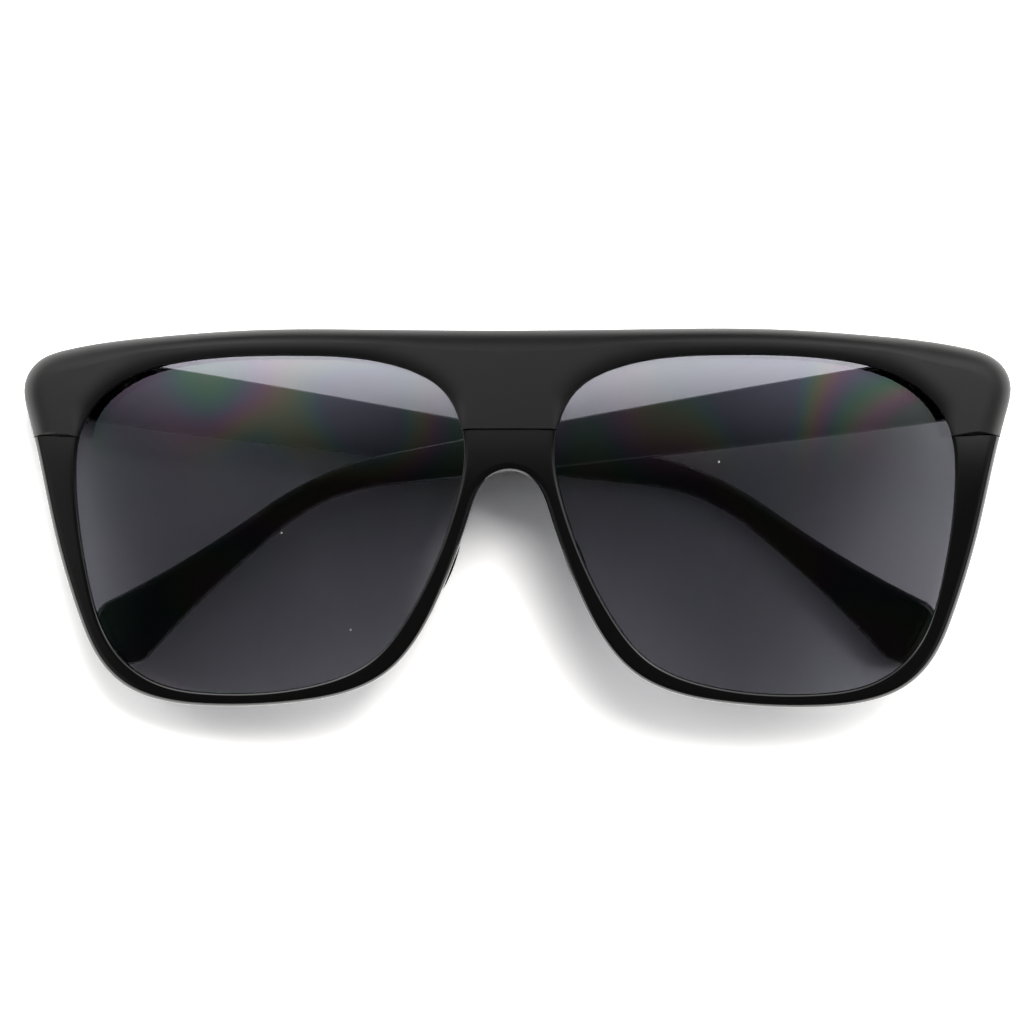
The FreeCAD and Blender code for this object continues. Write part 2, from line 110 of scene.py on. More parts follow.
# White acrylic sheet, cast and satin. It is exposed past white, as a catalogue picture has it, so
# only the deeper part of the shadow shows. What the eye, a lens or a mirror finish sees is that
# bright sheet, and the light it throws back on the glasses is that of plain white.
acrylic = new_material("white_acrylic")
ray = add_node(acrylic, "ShaderNodeLightPath")
direct = add_node(acrylic, "ShaderNodeMath", {0: ray.outputs["Is Camera Ray"],
                  1: ray.outputs["Is Glossy Ray"]}, operation="MAXIMUM")
seen = add_node(acrylic, "ShaderNodeMath", {0: direct.outputs[0],
                1: ray.outputs["Is Transmission Ray"]}, operation="MAXIMUM")
gain = add_node(acrylic, "ShaderNodeMapRange", {"Value": seen.outputs[0], "To Min": 1.0,
                "To Max": FLOOR_BRIGHTNESS})
bright = add_node(acrylic, "ShaderNodeVectorMath", {0: FLOOR_WHITE[:3], "Scale": gain.outputs[0]},
                  operation="SCALE")
white = add_node(acrylic, "ShaderNodeBsdfDiffuse", {"Color": bright.outputs[0]})
add_node(acrylic, "ShaderNodeOutputMaterial", {"Surface": white.outputs[0]})
floor_data.materials.append(acrylic)

LAMP_COLOUR = linear("FFFDFB")
KEY_PLACE = (0.15, 0.40, 1.12)
KEY_SIZE = 0.42
KEY_POWER = 11.0
SIDE_PLACE = (0.95, 0.22, 0.72)
SIDE_SIZE = 0.45
SIDE_POWER = 2.5

for name, spot, size, power in (("key_softbox", KEY_PLACE, KEY_SIZE, KEY_POWER),
                                ("side_softbox", SIDE_PLACE, SIDE_SIZE, SIDE_POWER)):
    lamp_data = bpy.data.lights.new(name, "AREA")
    lamp_data.shape = "SQUARE"
    lamp_data.size = size
    lamp_data.energy = power
    lamp_data.color = LAMP_COLOUR[:3]
    lamp = bpy.data.objects.new(name, lamp_data)
    lamp.location = spot
    lamp.rotation_euler = (-Vector(spot)).to_track_quat("-Z", "Y").to_euler()
    lamp.visible_glossy = False
    lamp.visible_transmission = False
    bpy.context.scene.collection.objects.link(lamp)

# The room is a dim even grey, with a white scrim beyond the brow whose edges fade out, brighter at
# its two wings, and a fainter wall at each side. Each fade runs between two shares of the direction
# looked in: its width to either side, its reach beyond the brow and its height.
FILL_STRENGTH = 0.06
SCRIM_STRENGTH = 1.5
SCRIM_NEAR = (0.05, 0.36)
SCRIM_FAR = (0.50, 0.80)
SCRIM_SIDES = (0.62, 0.92)
SCRIM_FOOT = (0.05, 0.30)
SCRIM_WINGS = (0.15, 0.60)
WING_GAIN = 2.8
WALL_EDGE = (0.68, 0.88)
WALL_SHARE = 0.25
ROOM_WHITE = linear("FFFFFF")

studio = bpy.data.worlds.new("studio")
studio.use_nodes = True
studio.node_tree.nodes.clear()
sky = add_node(studio, "ShaderNodeTexCoord")
way = add_node(studio, "ShaderNodeSeparateXYZ", {0: sky.outputs["Generated"]})
width = add_node(studio, "ShaderNodeMath", {0: way.outputs["X"]}, operation="ABSOLUTE")
fades = {}
for name, value, limits, ends in (("near", way.outputs["Y"], SCRIM_NEAR, (0.0, 1.0)),
                                  ("far", way.outputs["Y"], SCRIM_FAR, (1.0, 0.0)),
                                  ("sides", width.outputs[0], SCRIM_SIDES, (1.0, 0.0)),
                                  ("foot", way.outputs["Z"], SCRIM_FOOT, (0.0, 1.0)),
                                  ("wings", width.outputs[0], SCRIM_WINGS, (1.0, WING_GAIN)),
                                  ("walls", width.outputs[0], WALL_EDGE, (0.0, WALL_SHARE))):
    fade = add_node(studio, "ShaderNodeMapRange", {"Value": value, "From Min": limits[0],
                    "From Max": limits[1], "To Min": ends[0], "To Max": ends[1]},
                    interpolation_type="SMOOTHSTEP")
    fades[name] = fade.outputs[0]
middle = fades["near"]
for name in ("far", "sides", "wings"):
    middle = add_node(studio, "ShaderNodeMath", {0: middle, 1: fades[name]},
                      operation="MULTIPLY").outputs[0]
whole = add_node(studio, "ShaderNodeMath", {0: middle, 1: fades["walls"]}, operation="ADD")
scrim = add_node(studio, "ShaderNodeMath", {0: whole.outputs[0], 1: fades["foot"]},
                 operation="MULTIPLY")
room_light = add_node(studio, "ShaderNodeMath", {0: scrim.outputs[0], 1: SCRIM_STRENGTH,
                      2: FILL_STRENGTH}, operation="MULTIPLY_ADD")
room = add_node(studio, "ShaderNodeBackground", {"Color": ROOM_WHITE,
                "Strength": room_light.outputs[0]})
backdrop = add_node(studio, "ShaderNodeBackground", {"Color": ROOM_WHITE, "Strength": 1.0})
world_ray = add_node(studio, "ShaderNodeLightPath")
room_mix = add_node(studio, "ShaderNodeMixShader", {0: world_ray.outputs["Is Camera Ray"],
                    1: room.outputs[0], 2: backdrop.outputs[0]})
add_node(studio, "ShaderNodeOutputWorld", {"Surface": room_mix.outputs[0]})
bpy.context.scene.world = studio


# Brow cap.
# A bar of matt black polycarbonate, moulded to the curve of the front and pressed over the top of
# the rim, from one side seam to the other. Sizes are in millimetres, seen square on, and measured
# from the middle of the front.

MM = 0.001
HALF_BRIDGE = 6.75
LENS_WIDTH = 58.95
END_REACH = 8.35
RIM_FOOT = 2.1
LENS_HEIGHT = 50.0
BROW_HEIGHT = 3.95
LENS_BOTTOM = 26.05
ROLL = math.radians(-3.0)
FRONT_PLACE = (0.2139, 0.086, 10.017)
FACE_RADIUS = 190.0
APEX_HEIGHT = 21.998
SIDE_SEAM = 12.1
BRIDGE_SEAM = 13.1

BROW_PROUD = 1.3
BROW_SEAT = 1.25

# The brow's rounds: how far each reaches over the face, and how far it falls. Within so many
# degrees of a seam the one on the lens side shrinks to the seam's.
BROW_ROUND = (3.2, 2.3)
BROW_LENS_ROUND = (3.0, 0.8)
BROW_SEAM_ROUND = (0.8, 0.3)
BROW_BACK_ROUND = 0.1
BROW_EASE = 9.0

# Points of the outline in zones. Across, 0 is the middle, 1 and 2 the two sides of the lens and 3
# the outermost edge. Up, 0 is the foot of the rim, 1 and 2 the ends of the lens, 3 the brow's top.
RIM_OUTLINE = [
    (0.0, 2.93), (1.231, 2.985), (1.536, 3.0), (1.793, 2.778), (2.21, 2.336), (2.796, 1.987),
    (3.0, 1.934), (2.921, 1.824), (2.424, 1.476), (1.996, 1.228), (1.938, 1.087), (1.873, 1.016),
    (1.776, 0.367), (1.638, 0.0), (1.431, 0.313), (1.291, 1.005), (1.197, 1.061), (1.127, 1.149),
    (1.054, 1.311), (0.884, 1.527), (0.518, 1.629), (0.0, 1.659),
]
LENS_OUTLINE = [
    (1.0, 1.751), (1.053, 1.895), (1.167, 1.966), (1.437, 2.0), (1.717, 1.984), (1.887, 1.92),
    (1.979, 1.806), (2.0, 1.639), (1.967, 1.334), (1.903, 1.132), (1.798, 1.034), (1.64, 1.0),
    (1.389, 1.024), (1.231, 1.102), (1.138, 1.235), (1.021, 1.557),
]


def zone_point(across, up):
    """A point given in zones, in millimetres from the middle of the front."""
    widths = (HALF_BRIDGE, LENS_WIDTH, END_REACH)
    heights = (RIM_FOOT, LENS_HEIGHT, BROW_HEIGHT)
    x = sum(width * min(max(across - zone, 0.0), 1.0) for zone, width in enumerate(widths))
    y = sum(height * min(max(up - zone, 0.0), 1.0) for zone, height in enumerate(heights))
    return x, y - RIM_FOOT - LENS_BOTTOM


SPLINE_STEPS = 80


def smooth_outline(points):
    """A smooth closed line through the points, of equal bend on both sides of each."""
    here = np.array(points, float)
    ahead = np.roll(here, -1, axis=0)
    chord = np.linalg.norm(ahead - here, axis=1)
    before = np.roll(chord, 1)
    count = len(here)
    bend = np.diag(2 * (before + chord))
    for place in range(count):
        bend[place, place - 1] = before[place]
        bend[place, (place + 1) % count] = chord[place]
    slope = (ahead - here) / chord[:, None]
    curl = np.linalg.solve(bend, 6 * (slope - np.roll(slope, 1, axis=0)))
    curl_ahead = np.roll(curl, -1, axis=0)
    share = np.arange(SPLINE_STEPS)[None, :, None] / SPLINE_STEPS
    rest = 1 - share
    sag = (rest ** 3 - rest) * curl[:, None] + (share ** 3 - share) * curl_ahead[:, None]
    line = rest * here[:, None] + share * ahead[:, None] + sag * chord[:, None, None] ** 2 / 6
    return line.reshape(-1, 2)


# The front is cut in sections on rays from one centre in the lens, so many degrees apart, and
# closer together where they leave the middle along the nose arch.
STATION_CENTRE = (38.0, SIDE_SEAM)
STATION_STEP = 0.75
ARCH_STEP = 0.25
ARCH_STATIONS = 60
AXIS_SLACK = 1e-9


class Edge:
    """An outline seen from the station centre: where each ray meets it, and which way it faces."""

    def __init__(self, points):
        line = smooth_outline(points)
        along = np.roll(line, -1, axis=0) - np.roll(line, 1, axis=0)
        along /= np.linalg.norm(along, axis=1)[:, None]
        away = np.stack([along[:, 1], -along[:, 0]], axis=1)
        spread = line - np.array(STATION_CENTRE)
        if (away * spread).sum() < 0:
            away = -away
        angle = np.degrees(np.arctan2(spread[:, 1], spread[:, 0])) % 360
        keep = line[:, 0] > -AXIS_SLACK
        order = np.argsort(angle[keep])
        self.angle = angle[keep][order]
        self.facts = np.hstack([line, away])[keep][order]

    def at(self, angle):
        facts = [np.interp(angle % 360, self.angle, column, period=360) for column in self.facts.T]
        return Vector(facts[:2]), Vector(facts[2:]).normalized()


half_outline = [zone_point(across, up) for across, up in RIM_OUTLINE]
rim_edge = Edge(half_outline + [(-x, y) for x, y in reversed(half_outline[1:-1])])
lens_edge = Edge([zone_point(across, up) for across, up in LENS_OUTLINE])


def ray_angle(x, y):
    return math.degrees(math.atan2(y - STATION_CENTRE[1], x - STATION_CENTRE[0])) % 360


TOP_MIDDLE = ray_angle(*half_outline[0])
ARCH_MIDDLE = ray_angle(*half_outline[-1])
BRIDGE_STATION = ray_angle(0.0, BRIDGE_SEAM)
STATIONS = sorted({step * STATION_STEP for step in range(round(360 / STATION_STEP) + 1)}
                  | {ARCH_MIDDLE + step * ARCH_STEP for step in range(ARCH_STATIONS)}
                  | {TOP_MIDDLE, ARCH_MIDDLE, BRIDGE_STATION})


def outer_point(angle):
    """Where a ray meets the outer edge and which way that faces, or None on the middle plane."""
    if TOP_MIDDLE < angle < ARCH_MIDDLE:
        fall = STATION_CENTRE[0] * math.tan(math.radians(angle))
        return Vector((0.0, STATION_CENTRE[1] - fall)), None
    point, away = rim_edge.at(angle)
    if angle in (TOP_MIDDLE, ARCH_MIDDLE):
        point.x = 0.0
        away = Vector((0.0, 1.0 if angle == TOP_MIDDLE else -1.0))
    return point, away


def on_face(x, y, depth):
    """The point over x and y on the layer of the front at that depth. All layers share a centre."""
    radius = FACE_RADIUS - depth
    return Vector((x, y, APEX_HEIGHT - FACE_RADIUS + math.sqrt(radius ** 2 - x ** 2 - y ** 2)))


ROUND_STEPS = 6


def turn(width, fall=None):
    """A rounded corner from the face to the wall: pairs of inset from the wall and drop."""
    sweep = [math.radians(90 * step / ROUND_STEPS) for step in range(ROUND_STEPS + 1)]
    fall = fall or width
    return [(width * (1 - math.sin(angle)), fall * (1 - math.cos(angle))) for angle in sweep]


# The two rounds of a section take up no more than this share of its width. The back of the end
# pieces is flat, at a level of its own.
FACE_STEPS = 8
ROUND_SHARE = 0.96
END_BACK = 2.0


def ring_section(angle, front, back, rounds, groove=None):
    """The closed section of the front on one ray: over the face, down the outer wall, across the
    rear and up the lens side. back is a depth, or None where the rear is the flat of an end piece.
    rounds are those of the outer edge and the lens edge, as pairs, and that of the back."""
    outer, outer_away = outer_point(angle)
    inner, inner_away = lens_edge.at(angle)
    (outer_round, outer_fall), (inner_round, inner_fall), back_round = rounds
    room = ROUND_SHARE * (outer - inner).dot(inner_away) / (outer_round + inner_round)
    if outer_away is not None and room < 1.0:
        outer_round, inner_round = outer_round * room, inner_round * room

    def inside(inset):
        return inner + inner_away * inset

    def outside(inset):
        return outer if outer_away is None else outer - outer_away * inset

    def rear(point, drop):
        if back is None:
            return Vector((*point, END_BACK + drop))
        return on_face(*point, back - drop)

    def across(start, end):
        return [start.lerp(end, step / FACE_STEPS) for step in range(1, FACE_STEPS)]

    outer_turn = turn(outer_round, outer_fall)
    inner_turn = turn(inner_round, inner_fall)
    points = [on_face(*point, front) for point in across(inside(inner_round), outside(outer_round))]
    points += [on_face(*outside(inset), front + drop) for inset, drop in outer_turn]
    points += [rear(outside(inset), drop) for inset, drop in reversed(turn(back_round))]
    points += [rear(point, 0.0) for point in across(outside(back_round), inside(back_round))]
    points += [rear(inside(inset), drop) for inset, drop in turn(back_round)]
    if groove:
        near, far, bite = groove
        points += [on_face(*inside(0.0), far), on_face(*inside(bite), far)]
        points += [on_face(*inside(bite), near), on_face(*inside(0.0), near)]
    points += [on_face(*inside(inset), front + drop) for inset, drop in reversed(inner_turn)]
    return points


def wrap(sections, closed_rows=True):
    """A grid whose columns are laid on the sections, and the vertices of its two end columns."""
    sheet = bmesh.new()
    columns = len(sections) - 1
    rows = len(sections[0]) - (0 if closed_rows else 1)
    bmesh.ops.create_grid(sheet, x_segments=columns, y_segments=rows, size=1.0)
    ends = ([], [])
    for vert in sheet.verts:
        column = round((vert.co.x + 1) / 2 * columns)
        row = round((vert.co.y + 1) / 2 * rows)
        vert.co = sections[column][row % len(sections[0])]
        if column in (0, columns):
            ends[0 if column == 0 else 1].append(vert)
    return sheet, ends


def close_end(sheet, verts):
    """Fills the open edge that runs through these vertices."""
    members = set(vert for vert in verts if vert.is_valid)
    rim = [edge for edge in sheet.edges if edge.is_boundary and members.issuperset(edge.verts)]
    bmesh.ops.contextual_create(sheet, geom=rim)


ON_MIDDLE = 1e-7


def mirror_front(sheet):
    """Opens the half at the middle plane and adds its mirror image."""
    middle = [face for face in sheet.faces
              if all(abs(vert.co.x) < ON_MIDDLE for vert in face.verts)]
    bmesh.ops.delete(sheet, geom=middle, context="FACES")
    copy = bmesh.ops.duplicate(sheet, geom=sheet.verts[:] + sheet.edges[:] + sheet.faces[:])["geom"]
    verts = [item for item in copy if isinstance(item, bmesh.types.BMVert)]
    faces = [item for item in copy if isinstance(item, bmesh.types.BMFace)]
    bmesh.ops.scale(sheet, vec=(-1, 1, 1), verts=verts)
    bmesh.ops.reverse_faces(sheet, faces=faces)


MERGE = 1e-5


def finish(sheet, name, stance, body, nodes, material, crease=35):
    """Cleans a mesh, sets it in its place and makes it the piece that stands for the nodes."""
    bmesh.ops.remove_doubles(sheet, verts=sheet.verts, dist=MERGE)
    bmesh.ops.dissolve_degenerate(sheet, dist=MERGE, edges=sheet.edges)
    loose = [vert for vert in sheet.verts if not vert.link_faces]
    bmesh.ops.delete(sheet, geom=loose, context="VERTS")
    bmesh.ops.recalc_face_normals(sheet, faces=sheet.faces)
    sheet.transform(stance)
    data = bpy.data.meshes.new(name)
    sheet.to_mesh(data)
    sheet.free()
    data.shade_smooth()
    data.set_sharp_from_angle(angle=math.radians(crease))
    data.materials.append(material)
    piece = bpy.data.objects.new(name, data)
    bpy.context.scene.collection.objects.link(piece)
    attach(piece, body)
    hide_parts(*nodes)


FRONT_STANCE = (Matrix.Scale(MM, 4) @ Matrix.Translation(FRONT_PLACE)
                @ Matrix.Rotation(ROLL, 4, "Y"))


def dust(material, place, pitch, grain, share):
    """Where specks of dust lie: one in each cell of the given pitch, in that share of the cells."""
    cells = add_node(material, "ShaderNodeTexVoronoi", {"Vector": place.outputs["Object"],
                     "Scale": 1 / (pitch * MM)})
    near_speck = add_node(material, "ShaderNodeMath", {0: cells.outputs["Distance"],
                          1: grain / pitch}, operation="LESS_THAN")
    chance = add_node(material, "ShaderNodeSeparateColor", {0: cells.outputs["Color"]})
    chosen = add_node(material, "ShaderNodeMath", {0: chance.outputs[0], 1: share},
                      operation="LESS_THAN")
    return add_node(material, "ShaderNodeMath", {0: near_speck.outputs[0], 1: chosen.outputs[0]},
                    operation="MULTIPLY").outputs[0]


# Sizes of specks, grain and worn patches are in millimetres.
DUST_GREY = linear("B9B7B2")
BROW_DUST = {"pitch": 3.0, "grain": 0.10, "share": 0.10}
BROW_BLACK = linear("0F0F10")
LACQUER_GRAIN = 0.2
LACQUER_DEPTH = 0.02
WEAR_PATCH = 16.667

# Moulded polycarbonate with a soft-touch matt lacquer: black that stays grey under the light,
# with a fine grain and a few specks of dust.
matt = new_material("soft_touch_black_polycarbonate")
place = add_node(matt, "ShaderNodeTexCoord")
grain = add_node(matt, "ShaderNodeTexNoise", {"Vector": place.outputs["Object"],
                 "Scale": 1 / (LACQUER_GRAIN * MM), "Detail": 2.0})
grain_bump = add_node(matt, "ShaderNodeBump", {"Height": grain.outputs["Fac"], "Strength": 0.12,
                      "Distance": LACQUER_DEPTH * MM})
worn = add_node(matt, "ShaderNodeTexNoise", {"Vector": place.outputs["Object"],
                "Scale": 1 / (WEAR_PATCH * MM), "Detail": 4.0})
matt_rough = add_node(matt, "ShaderNodeMapRange", {"Value": worn.outputs["Fac"], "From Min": 0.3,
                      "From Max": 0.7, "To Min": 0.38, "To Max": 0.46})
matt_colour = add_node(matt, "ShaderNodeMix", {0: dust(matt, place, **BROW_DUST), 6: BROW_BLACK,
                       7: DUST_GREY}, data_type="RGBA")
lacquer = add_node(matt, "ShaderNodeBsdfPrincipled", {"Base Color": matt_colour.outputs[2],
                   "Roughness": matt_rough.outputs[0], "IOR": 1.5, "Specular IOR Level": 0.3,
                   "Normal": grain_bump.outputs[0]})
add_node(matt, "ShaderNodeOutputMaterial", {"Surface": lacquer.outputs[0]})

round_end = ray_angle(0.0, half_outline[0][1] - BROW_ROUND[0])
brow_stations = sorted({round_end} | {angle for angle in STATIONS if angle <= TOP_MIDDLE
                                      or round_end < angle <= BRIDGE_STATION})


def brow_section(angle):
    """The brow's section on one ray, whose lens side is eased towards the two seams."""
    ease = min(angle / BROW_EASE, (BRIDGE_STATION - angle) / BROW_EASE, 1.0)
    ease = ease * ease * (3 - 2 * ease)
    lens_round = [low + (high - low) * ease for low, high in zip(BROW_SEAM_ROUND, BROW_LENS_ROUND)]
    rounds = (BROW_ROUND, lens_round, BROW_BACK_ROUND)
    return ring_section(angle, -BROW_PROUD, BROW_SEAT, rounds)


brow_sheet, brow_ends = wrap([brow_section(angle) for angle in brow_stations])
bmesh.ops.remove_doubles(brow_sheet, verts=brow_sheet.verts, dist=MERGE)
for end in brow_ends:
    close_end(brow_sheet, end)
mirror_front(brow_sheet)
finish(brow_sheet, "brow_bar", FRONT_STANCE, "front", ["brow_cap"], matt)


# Front rim.
# Injection moulded in black polycarbonate and polished: one piece round both lenses with the
# bridge, the seat for the brow, the lens grooves and the two end pieces that carry the hinges.

RIM_THICKNESS = 4.2
RIM_ROUND = (1.1, 1.1)
RIM_LENS_ROUND = (0.6, 0.3)
RIM_BACK_ROUND = 0.35
LENS_RECESS = 1.3
LENS_THICKNESS = 2.0
LENS_BITE = 0.8
LENS_FIT = 0.05

# Under the brow lies its seat, with a thin ledge over the lens groove, and a hair of a gap shows at
# each seam. The side seam is so far from the centre of the rays, and an end piece lies between two.
SEAT_EDGE = (0.05, 0.05)
SEAT_LEDGE = 0.1
SEAM_GAP = 0.12
SEAM_REACH = 33.0
END_STATIONS = (4.3, 22.9)
RIM_DUST = {"pitch": 3.0, "grain": 0.10, "share": 0.12}
RIM_BLACK = linear("060606")
WIPE_MARK = 11.111

# Polished black polycarbonate: almost no colour, with a clear sharp reflection and dust.
gloss = new_material("polished_black_polycarbonate")
place = add_node(gloss, "ShaderNodeTexCoord")
wipe = add_node(gloss, "ShaderNodeTexNoise", {"Vector": place.outputs["Object"],
                "Scale": 1 / (WIPE_MARK * MM), "Detail": 5.0})
gloss_rough = add_node(gloss, "ShaderNodeMapRange", {"Value": wipe.outputs["Fac"], "From Min": 0.35,
                       "From Max": 0.75, "To Min": 0.07, "To Max": 0.16})
gloss_colour = add_node(gloss, "ShaderNodeMix", {0: dust(gloss, place, **RIM_DUST), 6: RIM_BLACK,
                        7: DUST_GREY}, data_type="RGBA")
shell = add_node(gloss, "ShaderNodeBsdfPrincipled", {"Base Color": gloss_colour.outputs[2],
                 "Roughness": gloss_rough.outputs[0], "IOR": 1.5})
add_node(gloss, "ShaderNodeOutputMaterial", {"Surface": shell.outputs[0]})


def rim_section(angle, under_brow, on_end):
    far = LENS_RECESS + LENS_THICKNESS + LENS_FIT
    bite = LENS_BITE + LENS_FIT
    back = None if on_end else RIM_THICKNESS
    if under_brow:
        rounds = (SEAT_EDGE, SEAT_EDGE, RIM_BACK_ROUND)
        return ring_section(angle, BROW_SEAT, back, rounds, (BROW_SEAT + SEAT_LEDGE, far, bite))
    rounds = (RIM_ROUND, RIM_LENS_ROUND, RIM_BACK_ROUND)
    return ring_section(angle, 0.0, back, rounds, (LENS_RECESS - LENS_FIT, far, bite))


# The rim is walked in stretches: from the side seam over the end piece and along the brow's seat to
# the bridge seam, down the middle to the nose arch, then round the foot and up to the side seam.
seam_low = 360 - math.degrees(SEAM_GAP / SEAM_REACH)
bridge_low = ray_angle(0.0, BRIDGE_SEAM - SEAM_GAP)
arch_start = ray_angle(0.0, half_outline[-1][1] + RIM_ROUND[0])
end_start, end_stop = END_STATIONS
rim_sections = []
for first, last, under_brow, on_end in ((0.0, end_start, True, False),
                                        (end_start, end_stop, True, True),
                                        (end_stop, bridge_low, True, False),
                                        (bridge_low, arch_start, False, False),
                                        (ARCH_MIDDLE, seam_low, False, False),
                                        (seam_low, 360.0, True, False)):
    between = [angle for angle in STATIONS
               if first < angle < last and not BRIDGE_STATION <= angle < bridge_low]
    rim_sections += [rim_section(angle, under_brow, on_end) for angle in (first, *between, last)]
rim_sheet, _ = wrap(rim_sections)
bmesh.ops.remove_doubles(rim_sheet, verts=rim_sheet.verts, dist=MERGE)
mirror_front(rim_sheet)
finish(rim_sheet, "rim", FRONT_STANCE, "front", ["front_rim"], gloss)


# Lenses.
# Ground from smoke grey polycarbonate 2 mm thick, curved with the front and snapped into the
# groove of the rim, with a thin coating that shows faint green and pink.

SMOKE_SEEN = linear("6E6E75")
SMOKE_SHADE = linear("5E5E62")
LENS_DUST = {"pitch": 5.0, "grain": 0.12, "share": 0.14}
LENS_CENTRE = (36.5, 0.0)
LENS_RINGS = 24
LENS_SPOKES = 240
SIDES = {"right": -1, "left": 1}

# The coating's least and greatest thickness in nanometres, and the patches in which it drifts.
COATING_THIN = 300.0
COATING_THICK = 720.0
COATING_PATCH = 28.571

# Tinted polycarbonate, clear and polished: light that passes is dimmed evenly to a cool grey, and
# the coating adds a coloured sheen where a lamp is mirrored.
smoke = new_material("smoke_tinted_polycarbonate")
place = add_node(smoke, "ShaderNodeTexCoord")
drift = add_node(smoke, "ShaderNodeTexNoise", {"Vector": place.outputs["Object"],
                 "Scale": 1 / (COATING_PATCH * MM), "Detail": 1.0})
film = add_node(smoke, "ShaderNodeMapRange", {"Value": drift.outputs["Fac"], "From Min": 0.3,
                "From Max": 0.7, "To Min": COATING_THIN, "To Max": COATING_THICK})
tinted = add_node(smoke, "ShaderNodeBsdfPrincipled", {"Base Color": SMOKE_SEEN, "Roughness": 0.0,
                  "IOR": 1.5, "Transmission Weight": 1.0, "Thin Film Thickness": film.outputs[0],
                  "Thin Film IOR": 1.44})
shade = add_node(smoke, "ShaderNodeBsdfTransparent", {"Color": SMOKE_SHADE})
smoke_ray = add_node(smoke, "ShaderNodeLightPath")
through = add_node(smoke, "ShaderNodeMixShader", {0: smoke_ray.outputs["Is Shadow Ray"],
                   1: tinted.outputs[0], 2: shade.outputs[0]})
speck = add_node(smoke, "ShaderNodeBsdfDiffuse", {"Color": DUST_GREY})
dusty = add_node(smoke, "ShaderNodeMixShader", {0: dust(smoke, place, **LENS_DUST),
                 1: through.outputs[0], 2: speck.outputs[0]})
add_node(smoke, "ShaderNodeOutputMaterial", {"Surface": dusty.outputs[0]})


def lens_column(angle, side):
    """From the middle of the lens's face out to its edge, and back behind."""
    edge, away = lens_edge.at(angle)
    edge = edge + away * LENS_BITE
    centre = Vector(LENS_CENTRE)
    spots = [centre.lerp(edge, ring / LENS_RINGS) for ring in range(LENS_RINGS + 1)]
    front = [on_face(side * spot.x, spot.y, LENS_RECESS) for spot in spots]
    back = [on_face(side * spot.x, spot.y, LENS_RECESS + LENS_THICKNESS) for spot in spots]
    return front + back[::-1]


for word, side in SIDES.items():
    lens_angles = [360 * step / LENS_SPOKES for step in range(LENS_SPOKES + 1)]
    lens_sheet, _ = wrap([lens_column(angle, side) for angle in lens_angles], closed_rows=False)
    finish(lens_sheet, "smoke_lens_" + word, FRONT_STANCE, "front", ["lens_" + word],
           smoke, crease=60)


# Temples.
# Each arm is moulded in the same black polycarbonate round a wire core. It narrows from the hinge
# to a neck, turns down over the ear and widens into a flat rounded tip. Drawn lying on its outer
# face with the hinge pin over the origin, it is then set in place.

TEMPLE_THICKNESS = 4.5
TIP_THICKNESS = 3.2
TAPER_START = 12.0
BUTT_CLEARANCE = 0.05
BUTT_HEIGHT = 2.0
SHAFT_LENGTH = 97.2
EAR_LENGTH = 43.0
DROP = math.radians(8.3)
BEND = math.radians(29.0)
BEND_RADIUS = 39.0
HINGE_END_HEIGHT = 10.0
NECK_HEIGHT = 3.9
TIP_HEIGHT = 13.0
SHAFT_TAPER_POWER = 1.5
EAR_FLARE_POWER = 2.3
TIP_ROUND = 5.0
TEMPLE_ROUND = 0.9
TEMPLE_STEPS = 110
TIP_STEPS = 26
FLANK_STEPS = 4
ARM_MERGE = 1e-4
PIN_LEVEL = 19.9
PIN_X = 67.2
PIN_TO_OUTER = 6.5
LEFT_TILT = math.radians(1.5)


def half_height(run):
    """Half the arm's height: down to the neck along the shaft, and up again to the tip."""
    if run <= SHAFT_LENGTH:
        fall = HINGE_END_HEIGHT - NECK_HEIGHT
        return (HINGE_END_HEIGHT - fall * (max(run, 0.0) / SHAFT_LENGTH) ** SHAFT_TAPER_POWER) / 2
    growth = TIP_HEIGHT - NECK_HEIGHT
    return (NECK_HEIGHT + growth * ((run - SHAFT_LENGTH) / EAR_LENGTH) ** EAR_FLARE_POWER) / 2


BEND_START = SHAFT_LENGTH - BEND_RADIUS * math.tan(BEND / 2)
PATH_LENGTH = BEND_START + BEND_RADIUS * BEND + EAR_LENGTH - BEND_RADIUS * math.tan(BEND / 2)


def centreline(run):
    """The point that far along the middle of the arm, and the direction there."""
    spot = Vector((min(run, BEND_START), 0.0))
    heading = 0.0
    if run > BEND_START:
        heading = -min((run - BEND_START) / BEND_RADIUS, BEND)
        spot += BEND_RADIUS * Vector((-math.sin(heading), math.cos(heading) - 1))
        beyond = max(run - BEND_START - BEND_RADIUS * BEND, 0.0)
        spot += beyond * Vector((math.cos(heading), math.sin(heading)))
    level = Matrix.Rotation(-DROP, 2)
    return level @ spot, level @ Vector((math.cos(heading), math.sin(heading)))


